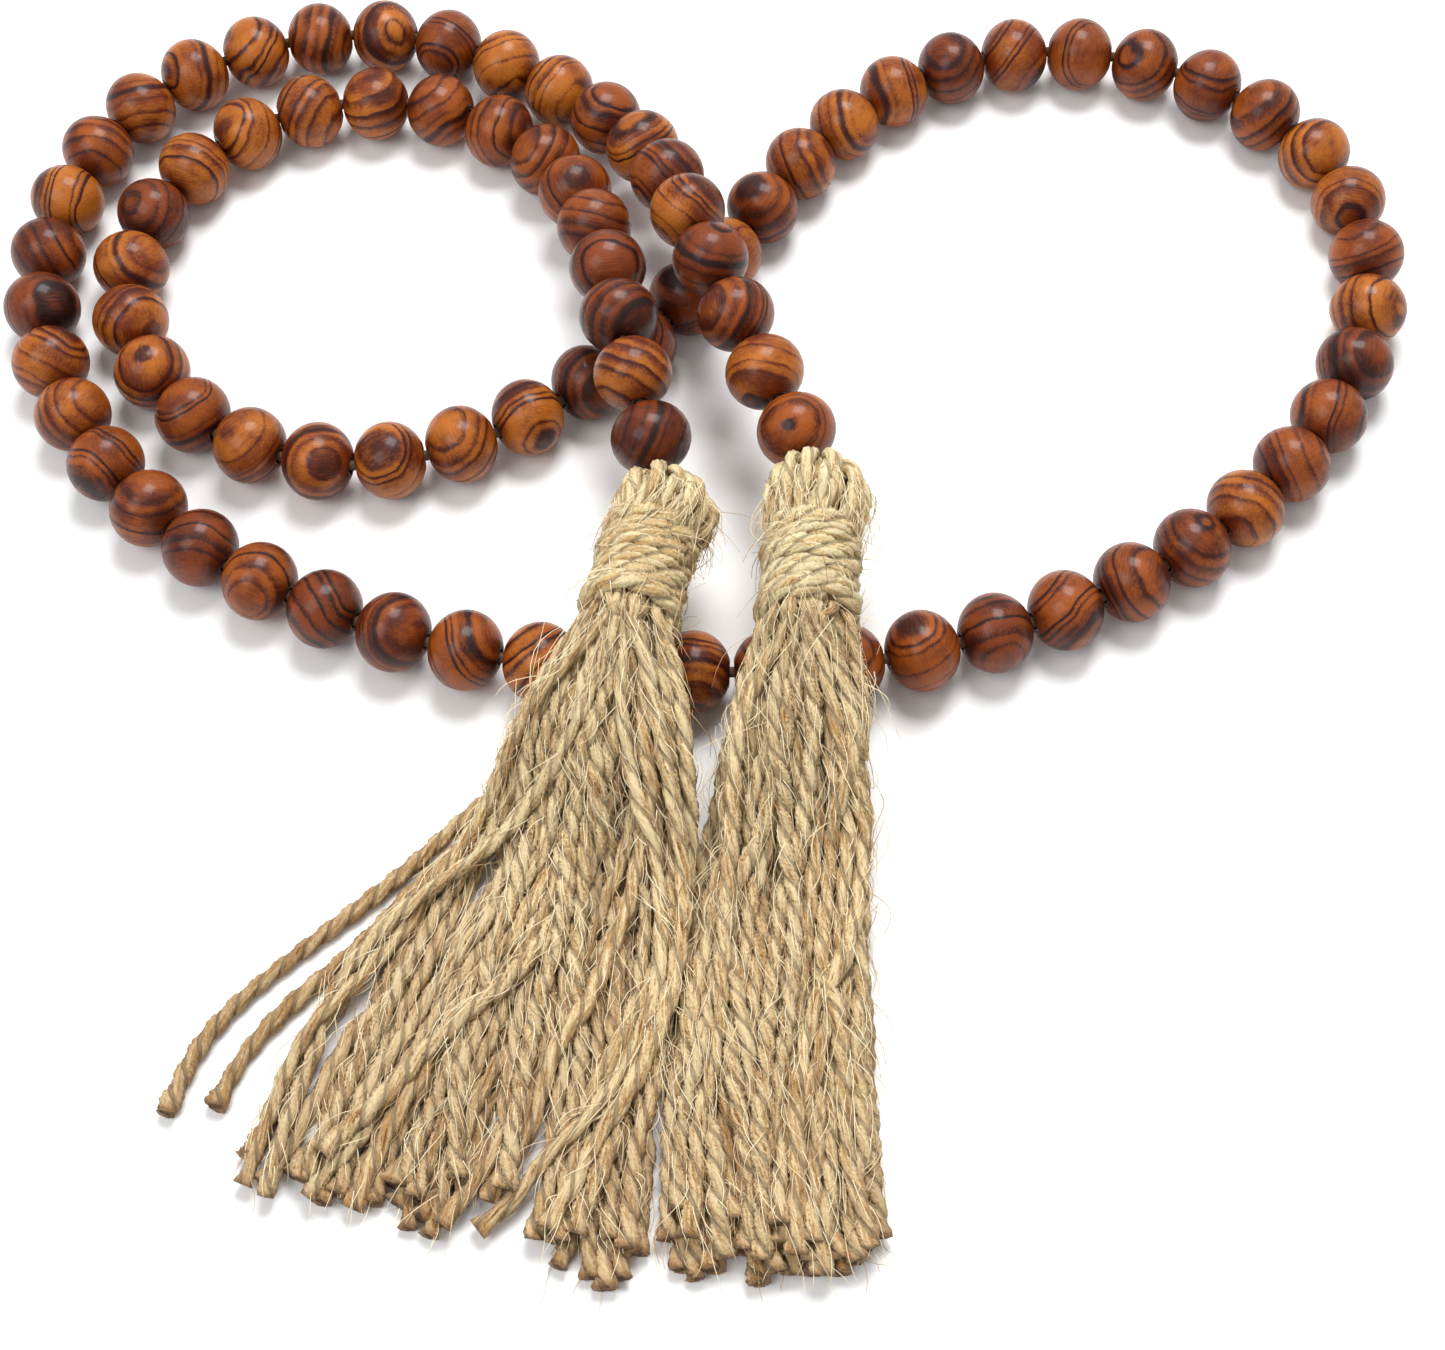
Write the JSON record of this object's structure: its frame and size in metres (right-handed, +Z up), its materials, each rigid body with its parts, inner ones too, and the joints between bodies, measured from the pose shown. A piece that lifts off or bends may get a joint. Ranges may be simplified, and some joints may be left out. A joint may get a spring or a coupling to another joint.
{
  "type": "prayer bead strand",
  "caption": "Open strand of turned wooden prayer beads on a cord, laid in crossing loops, with a bound jute tassel hanging from each end.",
  "frame": {"origin": "middle of the laid strand's footprint, on the surface it lies on", "axes": "+Z up from the surface; +Y away from the tassels, which point along -Y; +X to the right of someone who looks along +Y"},
  "size_m": [0.276, 0.2695, 0.0326],
  "materials": {
    "wood_amber": "gloss lacquer, banded grain",
    "wood_chestnut": "gloss lacquer, banded grain",
    "wood_umber": "gloss lacquer, banded grain",
    "jute": "raw twisted twine",
    "binding_twine": "raw twisted twine",
    "cord": "dark waxed cord"
  },
  "bodies": {
    "strand": {"cord_main": "cord", "bead_row_09_19": "wood_amber", "bead_row_31_41": "wood_chestnut", "bead_row_48_58": "wood_umber", "bead_row_62_72": "wood_amber"},
    "left_lift": {"cord_left_lift": "cord"},
    "left_end": {"cord_left_end": "cord"},
    "left_knot": {"left_knot": "cord"},
    "left_tassel": {"left_tassel_strands": "jute", "left_binding": "binding_twine", "left_hanging_loop": "cord", "left_stray_strand_1": "jute", "left_stray_strand_2": "jute"},
    "right_lift": {"cord_right_lift": "cord"},
    "right_end": {"cord_right_end": "cord"},
    "right_knot": {"right_knot": "cord"},
    "right_tassel": {"right_tassel_strands": "jute", "right_binding": "binding_twine", "right_hanging_loop": "cord"},
    "turning_bead_01": {"bead_01": "wood_chestnut"},
    "turning_bead_02": {"bead_02": "wood_umber"},
    "turning_bead_03": {"bead_03": "wood_amber"},
    "turning_bead_04": {"bead_04": "wood_chestnut"},
    "turning_bead_05": {"bead_05": "wood_umber"},
    "turning_bead_06": {"bead_06": "wood_amber"},
    "turning_bead_07": {"bead_07": "wood_chestnut"},
    "turning_bead_08": {"bead_08": "wood_umber"},
    "turning_bead_20": {"bead_20": "wood_umber"},
    "turning_bead_21": {"bead_21": "wood_amber"},
    "turning_bead_22": {"bead_22": "wood_chestnut"},
    "turning_bead_23": {"bead_23": "wood_umber"},
    "turning_bead_24": {"bead_24": "wood_amber"},
    "turning_bead_25": {"bead_25": "wood_chestnut"},
    "turning_bead_26": {"bead_26": "wood_umber"},
    "turning_bead_27": {"bead_27": "wood_amber"},
    "turning_bead_28": {"bead_28": "wood_chestnut"},
    "turning_bead_29": {"bead_29": "wood_umber"},
    "turning_bead_30": {"bead_30": "wood_amber"},
    "turning_bead_42": {"bead_42": "wood_amber"},
    "turning_bead_43": {"bead_43": "wood_chestnut"},
    "turning_bead_44": {"bead_44": "wood_umber"},
    "turning_bead_45": {"bead_45": "wood_amber"},
    "turning_bead_46": {"bead_46": "wood_chestnut"},
    "turning_bead_47": {"bead_47": "wood_umber"},
    "turning_bead_59": {"bead_59": "wood_umber"},
    "turning_bead_60": {"bead_60": "wood_amber"},
    "turning_bead_61": {"bead_61": "wood_chestnut"},
    "turning_bead_73": {"bead_73": "wood_chestnut"},
    "turning_bead_74": {"bead_74": "wood_umber"},
    "turning_bead_75": {"bead_75": "wood_amber"},
    "turning_bead_76": {"bead_76": "wood_chestnut"},
    "turning_bead_77": {"bead_77": "wood_umber"},
    "turning_bead_78": {"bead_78": "wood_amber"},
    "turning_bead_79": {"bead_79": "wood_chestnut"},
    "turning_bead_80": {"bead_80": "wood_umber"},
    "turning_bead_81": {"bead_81": "wood_amber"},
    "turning_bead_82": {"bead_82": "wood_chestnut"},
    "turning_bead_83": {"bead_83": "wood_umber"},
    "turning_bead_84": {"bead_84": "wood_amber"}
  },
  "joints": [
    {"name": "left_strand_lift", "type": "hinge", "parent": "strand", "child": "left_lift", "pos_m": [-0.0282, 0.08553, 0.01034], "axis": [-0.9332, -0.3593, 0], "range_deg": [0, 12]},
    {"name": "left_end_lift", "type": "hinge", "parent": "left_lift", "child": "left_end", "pos_m": [-0.01775, 0.04723, 0.02172], "axis": [-0.9865, -0.1637, 0], "range_deg": [0, 18]},
    {"name": "left_tassel_swing", "type": "hinge", "parent": "left_end", "child": "left_knot", "pos_m": [-0.00833, 0.00432, 0.01907], "axis": [0, 0, -1], "range_deg": [0, 8]},
    {"name": "left_tassel_lift", "type": "hinge", "parent": "left_knot", "child": "left_tassel", "pos_m": [-0.00833, 0.00432, 0.01907], "axis": [-0.9811, 0.1934, 0], "range_deg": [0, 14]},
    {"name": "right_strand_lift", "type": "hinge", "parent": "strand", "child": "right_lift", "pos_m": [-0.00921, 0.08411, 0.01562], "axis": [-0.9555, -0.295, 0], "range_deg": [0, 12]},
    {"name": "right_end_lift", "type": "hinge", "parent": "right_lift", "child": "right_end", "pos_m": [0.00308, 0.04591, 0.02369], "axis": [-0.9396, -0.3424, 0], "range_deg": [0, 18]},
    {"name": "right_tassel_swing", "type": "hinge", "parent": "right_end", "child": "right_knot", "pos_m": [0.01987, 0.00505, 0.02084], "axis": [0, 0, 1], "range_deg": [0, 8]},
    {"name": "right_tassel_lift", "type": "hinge", "parent": "right_knot", "child": "right_tassel", "pos_m": [0.01987, 0.00505, 0.02084], "axis": [-0.9946, 0.1041, 0], "range_deg": [0, 14]},
    {"name": "bead_01_turn", "type": "hinge", "parent": "left_end", "child": "turning_bead_01", "pos_m": [-0.01066, 0.01363, 0.02056], "axis": [-0.2396, 0.9588, 0.1526], "continuous": true},
    {"name": "bead_02_turn", "type": "hinge", "parent": "left_end", "child": "turning_bead_02", "pos_m": [-0.01391, 0.02695, 0.02232], "axis": [-0.2303, 0.9677, 0.1021], "continuous": true},
    {"name": "bead_03_turn", "type": "hinge", "parent": "left_end", "child": "turning_bead_03", "pos_m": [-0.01663, 0.04043, 0.02237], "axis": [-0.163, 0.9821, -0.0946], "continuous": true},
    {"name": "bead_04_turn", "type": "hinge", "parent": "left_lift", "child": "turning_bead_04", "pos_m": [-0.01881, 0.05389, 0.02019], "axis": [-0.1522, 0.9635, -0.2204], "continuous": true},
    {"name": "bead_05_turn", "type": "hinge", "parent": "left_lift", "child": "turning_bead_05", "pos_m": [-0.02168, 0.06694, 0.01676], "axis": [-0.2636, 0.9244, -0.2756], "continuous": true},
    {"name": "bead_06_turn", "type": "hinge", "parent": "left_lift", "child": "turning_bead_06", "pos_m": [-0.02585, 0.07943, 0.0126], "axis": [-0.3396, 0.8819, -0.3269], "continuous": true},
    {"name": "bead_07_turn", "type": "hinge", "parent": "strand", "child": "turning_bead_07", "pos_m": [-0.03224, 0.09096, 0.00892], "axis": [-0.5844, 0.7851, -0.205], "continuous": true},
    {"name": "bead_08_turn", "type": "hinge", "parent": "strand", "child": "turning_bead_08", "pos_m": [-0.04197, 0.10032, 0.0075], "axis": [-0.8228, 0.5684, 0], "continuous": true},
    {"name": "bead_20_turn", "type": "hinge", "parent": "strand", "child": "turning_bead_20", "pos_m": [-0.07404, 0.0191, 0.0075], "axis": [0.9855, -0.1695, 0], "continuous": true},
    {"name": "bead_21_turn", "type": "hinge", "parent": "strand", "child": "turning_bead_21", "pos_m": [-0.06038, 0.01891, 0.0075], "axis": [0.9899, 0.1416, 0], "continuous": true},
    {"name": "bead_22_turn", "type": "hinge", "parent": "strand", "child": "turning_bead_22", "pos_m": [-0.04705, 0.02231, 0.0075], "axis": [0.9365, 0.3506, 0], "continuous": true},
    {"name": "bead_23_turn", "type": "hinge", "parent": "strand", "child": "turning_bead_23", "pos_m": [-0.0346, 0.02821, 0.0075], "axis": [0.8647, 0.5023, 0], "continuous": true},
    {"name": "bead_24_turn", "type": "hinge", "parent": "strand", "child": "turning_bead_24", "pos_m": [-0.02323, 0.03602, 0.0075], "axis": [0.7789, 0.6271, 0], "continuous": true},
    {"name": "bead_25_turn", "type": "hinge", "parent": "strand", "child": "turning_bead_25", "pos_m": [-0.01307, 0.04535, 0.0075], "axis": [0.6912, 0.7226, 0], "continuous": true},
    {"name": "bead_26_turn", "type": "hinge", "parent": "strand", "child": "turning_bead_26", "pos_m": [-0.00415, 0.05589, 0.0075], "axis": [0.5984, 0.8012, 0], "continuous": true},
    {"name": "bead_27_turn", "type": "hinge", "parent": "strand", "child": "turning_bead_27", "pos_m": [0.00395, 0.0671, 0.0075], "axis": [0.5729, 0.8196, 0], "continuous": true},
    {"name": "bead_28_turn", "type": "hinge", "parent": "strand", "child": "turning_bead_28", "pos_m": [0.01159, 0.07862, 0.0075], "axis": [0.5327, 0.8463, 0], "continuous": true},
    {"name": "bead_29_turn", "type": "hinge", "parent": "strand", "child": "turning_bead_29", "pos_m": [0.01961, 0.08986, 0.0075], "axis": [0.6258, 0.78, 0], "continuous": true},
    {"name": "bead_30_turn", "type": "hinge", "parent": "strand", "child": "turning_bead_30", "pos_m": [0.02885, 0.10012, 0.0075], "axis": [0.7116, 0.7026, 0], "continuous": true},
    {"name": "bead_42_turn", "type": "hinge", "parent": "strand", "child": "turning_bead_42", "pos_m": [0.12444, 0.03657, 0.0075], "axis": [-0.4099, -0.9121, 0], "continuous": true},
    {"name": "bead_43_turn", "type": "hinge", "parent": "strand", "child": "turning_bead_43", "pos_m": [0.11774, 0.02453, 0.0075], "axis": [-0.5583, -0.8296, 0], "continuous": true},
    {"name": "bead_44_turn", "type": "hinge", "parent": "strand", "child": "turning_bead_44", "pos_m": [0.10924, 0.01367, 0.0075], "axis": [-0.6717, -0.7408, 0], "continuous": true},
    {"name": "bead_45_turn", "type": "hinge", "parent": "strand", "child": "turning_bead_45", "pos_m": [0.09937, 0.00401, 0.0075], "axis": [-0.7547, -0.6561, 0], "continuous": true},
    {"name": "bead_46_turn", "type": "hinge", "parent": "strand", "child": "turning_bead_46", "pos_m": [0.08843, -0.00441, 0.0075], "axis": [-0.8275, -0.5614, 0], "continuous": true},
    {"name": "bead_47_turn", "type": "hinge", "parent": "strand", "child": "turning_bead_47", "pos_m": [0.07658, -0.0115, 0.0075], "axis": [-0.8856, -0.4644, 0], "continuous": true},
    {"name": "bead_59_turn", "type": "hinge", "parent": "strand", "child": "turning_bead_59", "pos_m": [-0.08303, -0.0073, 0.0075], "axis": [-0.8722, 0.4891, 0], "continuous": true},
    {"name": "bead_60_turn", "type": "hinge", "parent": "strand", "child": "turning_bead_60", "pos_m": [-0.09458, 0.00024, 0.0075], "axis": [-0.7993, 0.6009, 0], "continuous": true},
    {"name": "bead_61_turn", "type": "hinge", "parent": "strand", "child": "turning_bead_61", "pos_m": [-0.10505, 0.00923, 0.0075], "axis": [-0.7143, 0.6998, 0], "continuous": true},
    {"name": "bead_73_turn", "type": "hinge", "parent": "strand", "child": "turning_bead_73", "pos_m": [-0.06667, 0.12734, 0.0075], "axis": [0.9963, -0.086, 0], "continuous": true},
    {"name": "bead_74_turn", "type": "hinge", "parent": "strand", "child": "turning_bead_74", "pos_m": [-0.0533, 0.12434, 0.0075], "axis": [0.9376, -0.3476, 0], "continuous": true},
    {"name": "bead_75_turn", "type": "hinge", "parent": "strand", "child": "turning_bead_75", "pos_m": [-0.04092, 0.11833, 0.0075], "axis": [0.8535, -0.5212, 0], "continuous": true},
    {"name": "bead_76_turn", "type": "hinge", "parent": "strand", "child": "turning_bead_76", "pos_m": [-0.02972, 0.11033, 0.0082], "axis": [0.765, -0.636, 0.1018], "continuous": true},
    {"name": "bead_77_turn", "type": "hinge", "parent": "strand", "child": "turning_bead_77", "pos_m": [-0.01996, 0.10081, 0.01015], "axis": [0.6471, -0.7408, 0.1802], "continuous": true},
    {"name": "bead_78_turn", "type": "hinge", "parent": "strand", "child": "turning_bead_78", "pos_m": [-0.01235, 0.0899, 0.01351], "axis": [0.4539, -0.8373, 0.305], "continuous": true},
    {"name": "bead_79_turn", "type": "hinge", "parent": "right_lift", "child": "turning_bead_79", "pos_m": [-0.00732, 0.07801, 0.01826], "axis": [0.2726, -0.883, 0.382], "continuous": true},
    {"name": "bead_80_turn", "type": "hinge", "parent": "right_lift", "child": "turning_bead_80", "pos_m": [-0.00337, 0.06546, 0.02237], "axis": [0.2994, -0.9303, 0.2119], "continuous": true},
    {"name": "bead_81_turn", "type": "hinge", "parent": "right_lift", "child": "turning_bead_81", "pos_m": [0.00089, 0.05247, 0.02376], "axis": [0.3164, -0.9486, -0.0102], "continuous": true},
    {"name": "bead_82_turn", "type": "hinge", "parent": "right_end", "child": "turning_bead_82", "pos_m": [0.00544, 0.03943, 0.0233], "axis": [0.3418, -0.9381, -0.0564], "continuous": true},
    {"name": "bead_83_turn", "type": "hinge", "parent": "right_end", "child": "turning_bead_83", "pos_m": [0.0105, 0.02658, 0.02248], "axis": [0.389, -0.9192, -0.0618], "continuous": true},
    {"name": "bead_84_turn", "type": "hinge", "parent": "right_end", "child": "turning_bead_84", "pos_m": [0.01596, 0.01392, 0.02155], "axis": [0.4015, -0.9129, -0.0731], "continuous": true}
  ]
}
